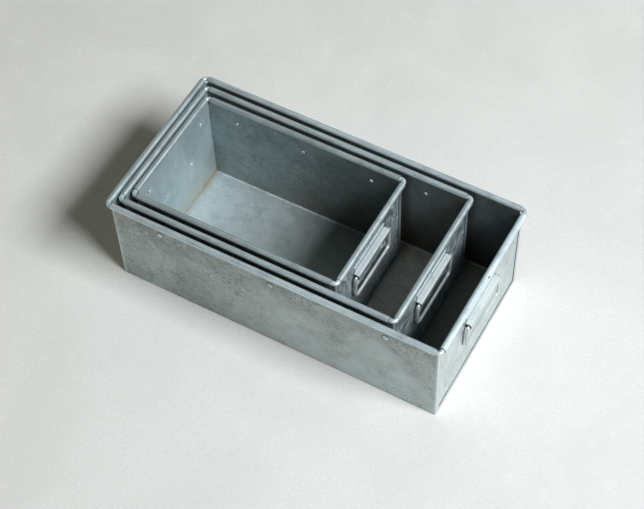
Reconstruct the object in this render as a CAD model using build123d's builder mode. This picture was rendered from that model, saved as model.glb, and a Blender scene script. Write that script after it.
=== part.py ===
"""Set of three open-top storage boxes in galvanised sheet steel, nested one inside the other.

Each box is a folded sheet that makes the floor and the two long walls, closed by two end
panels. The top edge of every wall is rolled outwards round one rim wire. A handle plate on
each end panel holds a wire bail in its knuckle.

Units are millimetres. +X runs along the boxes to their front end, +Z is up, and the origin
is on the ground under the middle of the large box.
"""
import os
from collections import namedtuple

from build123d import *

# Outer length and width of the large box
box_length = 401.0
box_width = 199.0

# From the outside in: the bay left in front of each box, the room beside its rim inside the box
# around it, and how far its outer rivets stand in from the ends of its long walls and end walls
Box = namedtuple("Box", "name bay side_room long_inset end_inset")
boxes = [
    Box("large", 0.0, 0.0, 62.0, 28.0),
    Box("medium", 57.6, 5.1, 52.0, 24.5),
    Box("small", 74.6, 5.2, 38.0, 21.0),
]

# Sheet and its folds: bends are inside radii
sheet = 0.8
corner_bend = 0.8
fold_bend = 0.4
side_flange = 6.0
floor_flange = 8.0
panel_gap = 0.1

# Rolled rim: the wire's height above the ground, and how the sheet goes round it
rim_height = 131.2
rim_wire = 5.4
rim_play = 0.1
rim_open_angle = 50.0
rim_bend = 4.0
bead_end_ease = 1.5
corner_cut = 0.4

# Wire bail
bail_wire = 3.5
bail_play = 0.6
bail_side_play = 1.25
bail_height = 33.6
bail_top_bend = 3.6
bail_low_bend = 6.0
bail_joint = 1.0

# Handle plate: heights are measured from the bail's pivot
pivot_drop = 38.7
pivot_reach = 4.4
plate_bend = 0.8
knuckle_width = 72.0
knuckle_strip = 1.05
upper_flange_inset = 2.0
upper_flange_rise = 11.5
lower_flange_spread = 4.0
lower_flange_lap = 0.9
plate_corner = 2.0
nick_width = 2.0
nick_depth = 1.0

# Rivets
rivet_shank = 3.6
rivet_play = 0.1
rivet_tail = 4.6
rivet_tail_height = 0.9
rivet_round = 0.3
wall_rivet_head = 7.6
wall_rivet_height = 0.6
wall_rivet_drop = 20.2
plate_rivet_head = 5.4
plate_rivet_height = 0.5
plate_rivet_spacing = 54.0
plate_rivet_drop = 23.5

# How the boxes nest
seat_gap = 0.3
handle_slack = 0.65

# Sizes that follow from the values above
corner_radius = corner_bend + sheet
fold_radius = fold_bend + sheet
bead_inner = rim_wire / 2 + rim_play
bead_outer = bead_inner + sheet
bead_setback = rim_bend + bead_end_ease
flange_top = rim_height - bead_outer - corner_cut
knuckle_inner = bail_wire / 2 + bail_play
knuckle_outer = knuckle_inner + sheet
knuckle_rise = knuckle_outer + knuckle_strip
bail_width = knuckle_width + bail_wire + 2 * bail_side_play
upper_flange_width = knuckle_width - 2 * upper_flange_inset
lower_flange_width = knuckle_width + 2 * lower_flange_spread
lower_flange_fall = bail_height + lower_flange_lap
nest_gap = pivot_reach + knuckle_outer + handle_slack
pivot_height = rim_height - pivot_drop
wall_rivet_z = rim_height - wall_rivet_drop
plate_rivet_z = pivot_height - plate_rivet_drop
rivet_hole = rivet_shank / 2 + rivet_play
through = 4 * sheet

# A box in its place: the middle's x, the underside's z, and from the middle to a panel's outer face
Case = namedtuple("Case", "name length width face middle level long_inset end_inset")


def nest(boxes):
    """Stand each box on the floor of the one before, its rear handle just clear of the end."""
    cases = []
    for box in boxes:
        width = box_width
        face = box_length / 2 - sheet - panel_gap
        middle = 0.0
        level = 0.0
        if cases:
            outer = cases[-1]
            width = outer.width - 2 * (sheet + bead_inner + bead_outer + box.side_room)
            face = outer.face - sheet - (nest_gap + box.bay) / 2
            middle = outer.middle - outer.face + sheet + nest_gap + face
            level = outer.level + sheet + seat_gap
        length = 2 * (face + sheet + panel_gap)
        insets = (box.long_inset, box.end_inset)
        cases.append(Case(box.name, length, width, face, middle, level, *insets))
    return cases


def end_plane(case, side, across, height, out=0.0):
    """Plane on an end panel: x runs across the box, y up and z out of the box."""
    origin = (case.middle + side * (case.face + out), side * across, height)
    return Plane(origin=origin, x_dir=(0, side, 0), z_dir=(side, 0, 0))


def wall_plane(case, side, along, height):
    """Plane on a long wall: y runs up and z out of the box."""
    origin = (case.middle + along, side * case.width / 2, height)
    return Plane(origin=origin, x_dir=(-side, 0, 0), z_dir=(0, side, 0))


def end_section(case, side, height):
    """Upright plane along the box's middle: x runs out of the end panel and y up."""
    origin = (case.middle + side * case.face, 0, height)
    return Plane(origin=origin, x_dir=(side, 0, 0), z_dir=(0, -side, 0))


def wall_section(case, side, height):
    """Upright plane across the box's middle: x runs out of the long wall and y up."""
    origin = (case.middle, side * case.width / 2, height)
    return Plane(origin=origin, x_dir=(0, side, 0), z_dir=(side, 0, 0))


def long_rivet_planes(case):
    """Places of the rivets in both long walls."""
    reach = case.length / 2 - case.long_inset
    return [wall_plane(case, side, x, wall_rivet_z) for side in (1, -1) for x in (-reach, 0, reach)]


def end_rivet_planes(case, side):
    """Places of the two wall rivets in one end panel."""
    reach = case.width / 2 - case.end_inset
    return [end_plane(case, side, across, wall_rivet_z) for across in (-reach, reach)]


def plate_rivet_planes(case, side, out=0.0):
    """Places of the two rivets that hold one handle plate."""
    reach = plate_rivet_spacing / 2
    return [end_plane(case, side, across, plate_rivet_z, out) for across in (-reach, reach)]


def rolled_edge(section):
    """Profile of a wall's top edge, rolled outwards over the rim wire and back to the wall."""
    turn = rim_open_angle - 360
    with BuildSketch(section) as edge:
        with BuildLine():
            outer = CenterArc((bead_inner, 0), bead_outer, 180, turn)
            inner = CenterArc((bead_inner, 0), bead_inner, 180, turn)
            Line(outer @ 0, inner @ 0)
            Line(outer @ 1, inner @ 1)
        make_face()
    return edge.sketch


def body_sheet(case):
    """Floor, long walls and the flanges that lap the end panels, folded from one sheet."""
    name = f"{case.name}_body_sheet"
    bead_length = 2 * (case.face + bead_inner - bead_setback)
    with BuildPart() as body:
        with BuildSketch(Plane.XY.offset(case.level)):
            with Locations((case.middle, 0)):
                RectangleRounded(case.length, case.width, corner_radius)
        extrude(amount=rim_height - case.level)
        fillet(body.faces().sort_by(Axis.Z)[0].edges(), fold_radius)
        offset(amount=-sheet, openings=body.faces().sort_by(Axis.Z)[-1])
        # End windows between the flanges
        with BuildSketch(Plane.XY.offset(case.level + floor_flange)):
            with Locations((case.middle, 0)):
                Rectangle(2 * case.length, case.width - 2 * side_flange)
        extrude(amount=rim_height, mode=Mode.SUBTRACT)
        # Corners cut down under the bare bends of the rim wire
        with BuildSketch(Plane.XY.offset(flange_top)):
            with Locations((case.middle, 0)):
                Rectangle(2 * case.length, 2 * case.width)
                Rectangle(bead_length, 2 * case.width, mode=Mode.SUBTRACT)
        extrude(amount=rim_height, mode=Mode.SUBTRACT)
        for side in (1, -1):
            extrude(rolled_edge(wall_section(case, side, rim_height)), bead_length / 2, both=True)
        with Locations(*long_rivet_planes(case)):
            Cylinder(rivet_hole, through, mode=Mode.SUBTRACT)
    body.part.label = name
    export_step(body.part, f"parts/{name}.step")


def end_panel(case, side, end):
    """Flat end panel inside the folded sheet, its top edge rolled over the rim wire."""
    name = f"{case.name}_{end}_panel"
    bead_length = case.width + 2 * (bead_inner - bead_setback)
    bottom = case.level + fold_radius + panel_gap
    middle = case.middle + side * (case.face - sheet / 2)
    with BuildPart() as panel:
        with BuildSketch(Plane.XY.offset(bottom)):
            with Locations((case.middle, 0)):
                inside = case.width - 2 * (sheet + panel_gap)
                RectangleRounded(2 * case.face, inside, corner_bend)
            with Locations((middle, 0)):
                Rectangle(sheet, case.width, mode=Mode.INTERSECT)
        extrude(amount=rim_height - bottom)
        with BuildSketch(Plane.XY.offset(flange_top)):
            with Locations((middle, 0)):
                Rectangle(2 * sheet, case.width)
                Rectangle(2 * sheet, bead_length, mode=Mode.SUBTRACT)
        extrude(amount=rim_height, mode=Mode.SUBTRACT)
        extrude(rolled_edge(end_section(case, side, rim_height)), bead_length / 2, both=True)
        with Locations(*end_rivet_planes(case, side), *plate_rivet_planes(case, side)):
            Cylinder(rivet_hole, through, mode=Mode.SUBTRACT)
    panel.part.label = name
    export_step(panel.part, f"parts/{name}.step")


def rim_ring(case):
    """Round wire bent into a ring inside the rolled edges, bare at its four bends."""
    name = f"{case.name}_rim_wire"
    x = case.face + bead_inner
    y = case.width / 2 + bead_inner
    with BuildPart() as ring:
        with BuildLine(Plane(origin=(case.middle, 0, rim_height))) as route:
            FilletPolyline((-x, -y), (x, -y), (x, y), (-x, y), radius=rim_bend, close=True)
        with BuildSketch(Plane(origin=route.line @ 0, z_dir=route.line % 0)):
            Circle(rim_wire / 2)
        sweep()
    ring.part.label = name
    export_step(ring.part, f"parts/{name}.step")


def handle_plate(case, side, end):
    """Clip with a half-round knuckle over the bail, between an upper and a lower flange."""
    name = f"{case.name}_{end}_handle_plate"
    spread = (lower_flange_width - knuckle_width) / 2
    with BuildPart() as plate:
        with BuildSketch(end_section(case, side, pivot_height)):
            with BuildLine():
                bend = sheet + plate_bend
                top = (pivot_reach, knuckle_inner)
                under = (pivot_reach, -knuckle_inner)
                FilletPolyline((0, upper_flange_rise), (0, knuckle_inner), top, radius=bend)
                CenterArc((pivot_reach, 0), knuckle_inner, 90, -180)
                FilletPolyline(under, (0, -knuckle_inner), (0, -lower_flange_fall), radius=bend)
                offset(amount=sheet, side=Side.LEFT)
            make_face()
        extrude(amount=lower_flange_width / 2, both=True)
        # Outline of the flat blank, seen from outside the box
        with BuildSketch(end_plane(case, side, 0, pivot_height)) as blank:
            Rectangle(knuckle_width, 2 * knuckle_rise)
            with Locations((0, knuckle_rise)):
                rise = upper_flange_rise - knuckle_rise
                Rectangle(upper_flange_width, rise, align=(Align.CENTER, Align.MIN))
            with Locations((0, upper_flange_rise)):
                Rectangle(nick_width, 2 * nick_depth, mode=Mode.SUBTRACT)
            with Locations((0, -knuckle_rise)):
                fall = lower_flange_fall - knuckle_rise
                Rectangle(lower_flange_width, fall, align=(Align.CENTER, Align.MAX))
            chamfer(blank.vertices().group_by(Axis.X)[0].sort_by(Axis.Y)[-1], spread)
            chamfer(blank.vertices().group_by(Axis.X)[-1].sort_by(Axis.Y)[-1], spread)
            fillet(blank.vertices().group_by(Axis.Y)[0], plate_corner)
        extrude(amount=2 * nest_gap, mode=Mode.INTERSECT)
        with Locations(*plate_rivet_planes(case, side)):
            Cylinder(rivet_hole, through, mode=Mode.SUBTRACT)
    plate.part.label = name
    export_step(plate.part, f"parts/{name}.step")


def bail(case, side, end):
    """Wire handle bent to a rectangle, its two ends meeting inside the knuckle."""
    name = f"{case.name}_{end}_bail"
    half = bail_width / 2
    low = -bail_height
    bends = [bail_top_bend, bail_low_bend, bail_low_bend, bail_top_bend]
    with BuildPart() as handle:
        with BuildLine(end_plane(case, side, 0, pivot_height, pivot_reach)) as route:
            start = (-bail_joint / 2, 0)
            finish = (bail_joint / 2, 0)
            corners = [(-half, 0), (-half, low), (half, low), (half, 0)]
            FilletPolyline(start, *corners, finish, radius=bends)
        with BuildSketch(Plane(origin=route.line @ 0, z_dir=route.line % 0)):
            Circle(bail_wire / 2)
        sweep()
    handle.part.label = name
    export_step(handle.part, f"parts/{name}.step")


def rivet(head, height, grip):
    """One rivet on the Z axis: its flat head above the origin, its tail below the grip."""
    with BuildPart() as one:
        with BuildSketch(Plane.XZ) as profile:
            with BuildLine():
                shank = rivet_shank / 2
                tail = rivet_tail / 2
                end = -grip - rivet_tail_height
                outline = [(0, height), (head / 2, height), (head / 2, 0), (shank, 0)]
                outline += [(shank, -grip), (tail, -grip), (tail, end), (0, end)]
                Polyline(*outline, close=True)
            make_face()
            fillet(profile.vertices().group_by(Axis.Y)[-1].sort_by(Axis.X)[-1], rivet_round)
            fillet(profile.vertices().group_by(Axis.Y)[0].sort_by(Axis.X)[-1], rivet_round)
        revolve(axis=Axis.Z)
    return one.part


def wall_rivets(case):
    """Rivets below the rim: three in each long wall and two in each end panel."""
    name = f"{case.name}_wall_rivets"
    planes = long_rivet_planes(case) + end_rivet_planes(case, 1) + end_rivet_planes(case, -1)
    with BuildPart() as group:
        with Locations(*planes):
            add(rivet(wall_rivet_head, wall_rivet_height, sheet))
    group.part.label = name
    export_step(group.part, f"parts/{name}.step")


def plate_rivets(case, side, end):
    """The two rivets that hold a handle plate to its end panel."""
    name = f"{case.name}_{end}_plate_rivets"
    with BuildPart() as group:
        with Locations(*plate_rivet_planes(case, side, sheet)):
            add(rivet(plate_rivet_head, plate_rivet_height, 2 * sheet))
    group.part.label = name
    export_step(group.part, f"parts/{name}.step")


os.makedirs("parts", exist_ok=True)
for case in nest(boxes):
    body_sheet(case)
    rim_ring(case)
    wall_rivets(case)
    for side, end in ((1, "front"), (-1, "rear")):
        end_panel(case, side, end)
        handle_plate(case, side, end)
        plate_rivets(case, side, end)
        bail(case, side, end)
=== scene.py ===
"""Three nested galvanised storage boxes: zinc finishes, hammered rivets, stage, lights and camera.

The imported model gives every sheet, wire and handle in its place. This file gives them their
finishes, models the rivets with their hammered faces, and sets the stage. Lengths are metres.
"""
import math
from collections import namedtuple

import bmesh
import bpy
from mathutils import Matrix, Vector, noise


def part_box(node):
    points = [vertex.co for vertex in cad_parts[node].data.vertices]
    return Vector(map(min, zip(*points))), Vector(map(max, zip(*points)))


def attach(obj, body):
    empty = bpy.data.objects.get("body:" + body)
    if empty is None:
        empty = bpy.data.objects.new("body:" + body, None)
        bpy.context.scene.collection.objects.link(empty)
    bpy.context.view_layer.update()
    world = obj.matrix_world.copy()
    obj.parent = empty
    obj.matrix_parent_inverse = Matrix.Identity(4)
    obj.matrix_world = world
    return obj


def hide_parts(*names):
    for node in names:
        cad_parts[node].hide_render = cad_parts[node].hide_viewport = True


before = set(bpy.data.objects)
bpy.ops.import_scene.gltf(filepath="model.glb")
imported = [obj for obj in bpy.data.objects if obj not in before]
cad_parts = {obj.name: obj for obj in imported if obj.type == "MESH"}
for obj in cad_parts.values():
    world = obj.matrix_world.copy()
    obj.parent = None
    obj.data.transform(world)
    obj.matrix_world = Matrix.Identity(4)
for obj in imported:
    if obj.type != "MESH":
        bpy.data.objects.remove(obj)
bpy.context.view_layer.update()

bl_info = {
    "name": "Nested galvanised boxes",
    "version": (1, 0, 0),
    "blender": (4, 5, 0),
    "location": "3D View > Sidebar > Nested boxes",
    "description": "Finishes, rivets and stage for a set of nested galvanised storage boxes",
    "category": "Object",
}

MM = 0.001
ENDS = {"front": 1, "rear": -1}

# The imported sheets: their thickness, the height of their rolled edge, how far from a body
# sheet's end and from a panel's side that edge stops, and how wide the flanges are
SHEET = 0.8 * MM
BEAD = 7.2 * MM
BODY_BEAD_END = 3.6 * MM
PANEL_BEAD_END = 2.7 * MM
SIDE_FLANGE = 6.0 * MM
FLOOR_FLANGE = 8.0 * MM

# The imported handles: the knuckle's outer and inner radius and half its length, the upper
# flange's height and half width over the knuckle's middle, the lower flange's ears, and the
# bail's leg
KNUCKLE = 3.15 * MM
KNUCKLE_HOLLOW = 2.45 * MM
KNUCKLE_REACH = 36.0 * MM
FLANGE_RISE = 11.5 * MM
FLANGE_REACH = 34.0 * MM
EAR_START = 34.0 * MM
EAR_FULL = 35.5 * MM
BAIL_LEG = 37.25 * MM

# How soft a crisp border between two finishes is, and how deep the bumps are
HAIR = 0.3 * MM
SHEET_BUMP = 0.25 * MM
PLATE_BUMP = 0.15 * MM
WIRE_BUMP = 0.1 * MM

# How far up from the base the bloom outside, the brown dust and painted shade on the walls inside,
# and the darkening low on the panels inside go, and how far their edges drift
BLOOM_FULL = 50.0 * MM
BLOOM_END = 125.0 * MM
WALL_DUST_AND_SHADE = 95.0 * MM
WALL_DUST_AND_SHADE_DRIFT = 90.0 * MM
PANEL_MURK = 75.0 * MM
PANEL_MURK_DRIFT = 110.0 * MM

# Stains in the joint of floor and panels: their reach and drift along the floor, and their
# height, drift and extra height at one corner on the panel
FLOOR_STAIN = 12.0 * MM
FLOOR_STAIN_DRIFT = 30.0 * MM
PANEL_STAIN_FULL = 1.5 * MM
PANEL_STAIN_END = 5.0 * MM
PANEL_STAIN_DRIFT = 16.0 * MM
PANEL_STAIN_CORNER = 3.0 * MM

# Wear and painted light of the edges: how far a rubbed corner, which is partly a painted highlight,
# reaches, and where along x the painted shade of the rolled edges is darkest and brightest
RUBBED_HIGHLIGHT_REACH = 4.5 * MM
EDGE_DARK_X = -180.0 * MM
EDGE_BRIGHT_X = 60.0 * MM

# Wear and painted shadow of the handle plates: half the width and the softness of the line where a
# bail's leg both rubs and casts its painted shadow, and how far under the knuckle it is gone and is
# full. The painted shadow beside an upper flange's end: its middle over the knuckle's, and half its
# height
LEG_SHADOW_RUB_HALF = 1.1 * MM
LEG_SHADOW_RUB_SOFT = 0.8 * MM
LEG_SHADOW_RUB_GONE = -32.0 * MM
LEG_SHADOW_RUB_FULL = -22.0 * MM
FLANGE_SHADOW_LIFT = 4.5 * MM
FLANGE_SHADOW_HALF = 3.0 * MM

# Dark rings round the rivets, partly dirt and partly painted shade at their edges: radius of the
# rings round heads and tails, half a ring's width, and the scuffs round the tails
HEAD_RING = 4.0 * MM
TAIL_RING = 2.9 * MM
RING_HALF = 0.45 * MM
SCUFF_FULL = 3.0 * MM
SCUFF_END = 8.0 * MM

# Half outlines of the rivets, from the middle of the head round to the middle of the tail, in
# millimetres: distance from the axis, then height above the face that the head lies on
WALL_RIVET = (
    (0, 0.56), (1.3, 0.6), (2.6, 0.57), (3.35, 0.44), (3.72, 0.22), (3.8, 0.02), (1.8, 0),
    (1.8, -0.8), (2.55, -0.82), (2.62, -1.05), (2.3, -1.45), (1.35, -1.78), (0, -1.86),
)
PLATE_RIVET = (
    (0, 0.46), (1.0, 0.5), (1.9, 0.46), (2.45, 0.3), (2.7, 0.04), (1.8, 0),
    (1.8, -1.6), (2.55, -1.62), (2.62, -1.85), (2.3, -2.25), (1.35, -2.58), (0, -2.66),
)

# The rivets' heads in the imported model, the steps of their spin, the slanted direction along
# which their faces are ordered, and how dented and uneven the hammer left them
WALL_RIVET_HEAD = 0.6 * MM
PLATE_RIVET_HEAD = 0.5 * MM
RIVET_STEPS = 28
FACE_ORDER = Vector((1.0, 0.37, 0.13))
DENT_DEPTH = 0.09 * MM
DENT_REACH = 3.6 * MM
UNEVEN = 0.04

# Small oval marks on the panels' rolled edges, in millimetres: their middles and half sizes.
# They show only on the edge's outer side, which is this far out from the body sheet's end
Mark = namedtuple("Mark", "y z half_y half_z")
CHIPS = {("large", "front"): (Mark(4.9, 133.3, 2.0, 0.8),)}
SCUFFS = {
    ("large", "front"): (Mark(8.6, 133.2, 1.2, 0.6), Mark(4.4, 132.2, 1.5, 0.4)),
    ("medium", "front"): (Mark(-9.0, 133.0, 3.0, 0.4), Mark(14.0, 132.4, 1.5, 0.5)),
    ("small", "front"): (Mark(11.0, 134.6, 2.0, 0.5),),
}
MARK_START = 4.0 * MM
MARK_FULL = 4.5 * MM

# Tones of the zinc and of what has settled on it. Where they are used, some are painted light: the
# near black is mostly painted shade in gaps, hollows, creases and seams, the edge shade and the
# shaded blues are painted shade, and the rubbed corner, the large box's flanges and the floor's
# blues are painted light and shade
ZINC_DARK = (0.17, 0.195, 0.19)
ZINC_LIGHT = (0.60, 0.67, 0.68)
ZINC_BRIGHT = (0.78, 0.81, 0.81)
SHADED_PLATE_FLANGE = (0.60, 0.69, 0.73)
LIT_PLATE_FLANGE = (0.78, 0.83, 0.85)
EDGE_SHADE = (0.29, 0.335, 0.335)
SHADED_BLUE = (0.22, 0.30, 0.345)
RUBBED_CORNER_HIGHLIGHT = (0.70, 0.80, 0.83)
RUBBED_LIT_FLANGE = (0.60, 0.66, 0.67)
FLAKE_BLUE = (0.52, 0.67, 0.735)
PALE_FLAKE = (0.56, 0.64, 0.655)
LIT_FLOOR_BLUE = (0.66, 0.795, 0.855)
SHADED_FLOOR_BLUE = (0.355, 0.44, 0.465)
WARM_FILM = (0.335, 0.34, 0.29)
PALE_BLOOM = (0.52, 0.605, 0.62)
YELLOW_STAIN = (0.33, 0.285, 0.165)
RUST_BROWN = (0.34, 0.30, 0.205)
FLOOR_DUST = (0.225, 0.20, 0.155)
PALE_DUST = (0.50, 0.45, 0.38)
BROWN_DUST_AND_SHADE = (0.185, 0.16, 0.13)
DRY_DIRT = (0.075, 0.07, 0.06)
GROOVE = (0.03, 0.03, 0.03)
RIVET_DULL = (0.54, 0.59, 0.58)
RIVET_BLOOM = (0.76, 0.80, 0.80)

# Noise patterns: features a metre, detail, roughness and warp. The zinc's own come first, then
# those of the rolled edges, sheets, panels, handle plates and floor
Grain = namedtuple("Grain", "scale detail roughness warp", defaults=(0.0,))
CLOUDS = Grain(15.0, 5.0, 0.6, 0.5)
WARMTH = Grain(20.0, 5.0, 0.62, 0.6)
PATCHES = Grain(52.0, 6.0, 0.68, 0.3)
MOTTLE = Grain(190.0, 5.0, 0.75)
FINE = Grain(700.0, 3.0, 0.7)
SPECKS = Grain(640.0, 2.0, 0.6)
SPECK_PATCHES = Grain(24.0, 4.0, 0.65)
EDGE_LINES = Grain(700.0, 3.0, 0.6)
EDGE_WEAR = Grain(45.0, 5.0, 0.7)
BROKEN = Grain(90.0, 4.0, 0.7)
BODY_DRIFT = Grain(24.0, 4.0, 0.6)
PANEL_DRIFT = Grain(30.0, 4.0, 0.6)
GRIT = Grain(400.0, 3.0, 0.7)
PANEL_SMEARS = Grain(70.0, 5.0, 0.7, 0.4)
FLAKES = Grain(230.0, 4.0, 0.7, 0.8)
FLAKE_PATCHES = Grain(38.0, 3.0, 0.6)
PLATE_BROKEN = Grain(110.0, 5.0, 0.7)
PLATE_SCRATCHES = Grain(700.0, 5.0, 0.7)
FLOOR_CLOUDS = Grain(7.0, 6.0, 0.6, 0.5)
FLOOR_BLOTCHES = Grain(28.0, 5.0, 0.7, 0.4)
FLOOR_FINE = Grain(320.0, 4.0, 0.75)

# Crystals of the zinc's spangle a metre, and the lines a metre that rolling a sheet and drawing
# a wire leave. The coordinates along such lines shrink to the share that comes last
SPANGLE = 150.0
ROLLED_LINES = 330.0
DRAWN_LINES = 1200.0
ROLLED_OUT = 0.4
DRAWN_OUT = 0.1

# The floor: its radius, and how far it lies under the boxes. The weak lamp opposite the key:
# its turn, rise, distance, width and colour
FLOOR_RADIUS = 7.0
FLOOR_DROP = 0.1 * MM
FILL_TURN = math.radians(150)
FILL_RISE = math.radians(48)
FILL_DISTANCE = 3.0
FILL_WIDTH = 2.0
FILL_COLOUR = (1.0, 0.98, 0.78)

# One box's places: the middle of its length, its walls' outer faces, its levels and its rivets
Case = namedtuple("Case", "name seed middle half_length half_width base top wall plate")
# Rivets: how far they stand from the middle of a long wall and of an end, and their height
Rivets = namedtuple("Rivets", "long_reach end_reach height")
# Finish of a piece: its two broad tones, how strong its mottling and specks are, how rough and
# metallic it is, how strong its warm film is, and its lines a metre
Look = namedtuple("Look", "dull bloom mottle specks rough metal warm lines")
# Looks of a sheet: outside, inside and on its rolled edge
SheetLooks = namedtuple("SheetLooks", "outside inside edge")
# Wear of a body sheet: dust on its floor, which also sets the painted shade inside the outer boxes,
# and the dust's tone, stains, rubbed corners that are partly a painted highlight, and the tone of
# its flanges, painted as lit or as shaded. Wear runs from 0 to 1
BodyWear = namedtuple("BodyWear", "dust dust_tone stain rub flange")
# Wear of a panel: painted shade on its outer side, its flakes' tone, stains, and the marks on its
# rolled edge
PanelWear = namedtuple("PanelWear", "tarnish flakes stain chips scuffs")

# The large box's flanges are painted as lit, the inner boxes' as shaded
BODY_WEAR = {
    "large": BodyWear(0.8, FLOOR_DUST, 0.2, 0.8, RUBBED_LIT_FLANGE),
    "medium": BodyWear(0.75, PALE_DUST, 0.2, 0.3, SHADED_BLUE),
    "small": BodyWear(0.0, FLOOR_DUST, 0.6, 0.3, SHADED_BLUE),
}
# How much more metallic than the settings say the rolled edges of the body sheets are
BODY_EDGE_SHINE = {"large": -0.1, "medium": 0.0, "small": 0.12}


def islands(node):
    """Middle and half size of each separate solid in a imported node."""
    shape = bmesh.new()
    shape.from_mesh(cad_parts[node].data)
    bmesh.ops.remove_doubles(shape, verts=shape.verts, dist=0.001 * MM)
    found = []
    waiting = set(shape.verts)
    while waiting:
        island = {waiting.pop()}
        edge = set(island)
        while edge:
            edge = {link.other_vert(vert) for vert in edge for link in vert.link_edges} - island
            island |= edge
        waiting -= island
        low = Vector([min(vert.co[i] for vert in island) for i in range(3)])
        high = Vector([max(vert.co[i] for vert in island) for i in range(3)])
        found.append(((low + high) / 2, (high - low) / 2))
    shape.free()
    return sorted(found, key=lambda spot: tuple(round(part, 5) for part in spot[0]))


def read_case(name, seed):
    """One box's places, from its packed sheets and rivets."""
    low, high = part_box(f"{name}_body_sheet")
    middle = (low.x + high.x) / 2
    half_length = (high.x - low.x) / 2
    spots = [spot for spot, size in islands(f"{name}_wall_rivets")]
    along = [abs(spot.x - middle) for spot in spots]
    across = [abs(spot.y) for spot in spots]
    wall = Rivets(
        max(reach for reach in along if reach < half_length - BEAD),
        max(reach for reach in across if reach < high.y - 2 * BEAD),
        spots[0].z,
    )
    spot = islands(f"{name}_front_plate_rivets")[1][0]
    plate = Rivets(0.0, abs(spot.y), spot.z)
    half_width = high.y - BEAD + SHEET
    return Case(name, seed, middle, half_length, half_width, low.z, high.z, wall, plate)


CASES = [read_case(name, seed) for seed, name in enumerate(("large", "medium", "small"), 1)]


def knuckle_height(case, end):
    """Height of the middle of a handle plate's knuckle."""
    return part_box(f"{case.name}_{end}_handle_plate")[1].z - FLANGE_RISE


class Field:
    """An output socket that Python arithmetic adds Math nodes to."""

    def __init__(self, shader, socket):
        self.shader = shader
        self.socket = socket

    def math(self, operation, first, second=0.0):
        return self.shader.node("Math", {"operation": operation}, {0: first, 1: second})

    def __add__(self, other):
        return self.math("ADD", self, other)

    def __sub__(self, other):
        return self.math("SUBTRACT", self, other)

    def __rsub__(self, other):
        return self.math("SUBTRACT", other, self)

    def __mul__(self, other):
        return self.math("MULTIPLY", self, other)

    def __abs__(self):
        return self.math("ABSOLUTE", self)

    def __or__(self, other):
        return self.math("MAXIMUM", self, other)

    def __and__(self, other):
        return self.math("MINIMUM", self, other)

    __radd__ = __add__
    __rmul__ = __mul__


def drawn_out(axis, share):
    """Scale that draws a pattern out along one axis, where its coordinates shrink to a share."""
    return tuple(share if name == axis else 1.0 for name in "xyz")


class Shader:
    """Nodes of one material or world, added by kind, settings and inputs."""

    def __init__(self, owner):
        self.owner = owner
        owner.use_nodes = True
        self.tree = owner.node_tree
        self.tree.nodes.clear()

    def node(self, kind, settings=None, inputs=None, output=0):
        """Add one node: its settings first, then its sockets' values and links."""
        made = self.tree.nodes.new("ShaderNode" + kind)
        for key, value in (settings or {}).items():
            setattr(made, key, value)
        for key, value in (inputs or {}).items():
            if isinstance(value, Field):
                self.tree.links.new(value.socket, made.inputs[key])
            else:
                made.inputs[key].default_value = value
        return Field(self, made.outputs[output]) if made.outputs else made

    def blend(self, factor, first, second):
        """Colour from first to second as factor goes from 0 to 1."""
        first = first if isinstance(first, Field) else (*first, 1.0)
        second = second if isinstance(second, Field) else (*second, 1.0)
        return self.node("Mix", {"data_type": "RGBA"}, {0: factor, 6: first, 7: second}, 2)

    def rise(self, value, low, high):
        """Smooth step from 0 at low to 1 at high."""
        inputs = {"Value": value, "From Min": low, "From Max": high}
        return self.node("MapRange", {"interpolation_type": "SMOOTHSTEP"}, inputs)

    def fall(self, value, low, high):
        """Smooth step from 1 at low to 0 at high."""
        return 1.0 - self.rise(value, low, high)

    def line(self, value, middle, half, soft=HAIR):
        """1 within half of middle, fading to 0 over soft."""
        return self.fall(abs(value - middle), half, half + soft)

    def distance(self, first, second):
        """Distance from a point, from the distances along two axes."""
        squares = first * first + second * second
        return squares.math("SQRT", squares)

    def place(self, offset=(0, 0, 0), scale=(1, 1, 1)):
        """Object coordinates, moved and stretched."""
        where = self.node("TexCoord", output="Object")
        return self.node("Mapping", {}, {"Vector": where, "Location": offset, "Scale": scale})

    def axes(self):
        """The object coordinates x, y and z."""
        where = self.node("TexCoord", output="Object")
        split = self.node("SeparateXYZ", {}, {"Vector": where}).socket.node
        return [Field(self, output) for output in split.outputs]

    def grain(self, where, grain):
        """Noise from 0 to 1."""
        inputs = {"Vector": where, "Scale": grain.scale, "Detail": grain.detail}
        inputs.update({"Roughness": grain.roughness, "Distortion": grain.warp})
        return self.node("TexNoise", {}, inputs)

    def surface(self, colour, metallic, roughness, height, bump):
        """Principled surface with a bump of that depth, on the material's output."""
        relief = {"Strength": 1.0, "Distance": bump, "Height": height}
        inputs = {"Base Color": colour, "Metallic": metallic, "Roughness": roughness}
        inputs["Normal"] = self.node("Bump", {}, relief)
        shader = self.node("BsdfPrincipled", {}, inputs)
        self.node("OutputMaterial", {}, {"Surface": shader})


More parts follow.
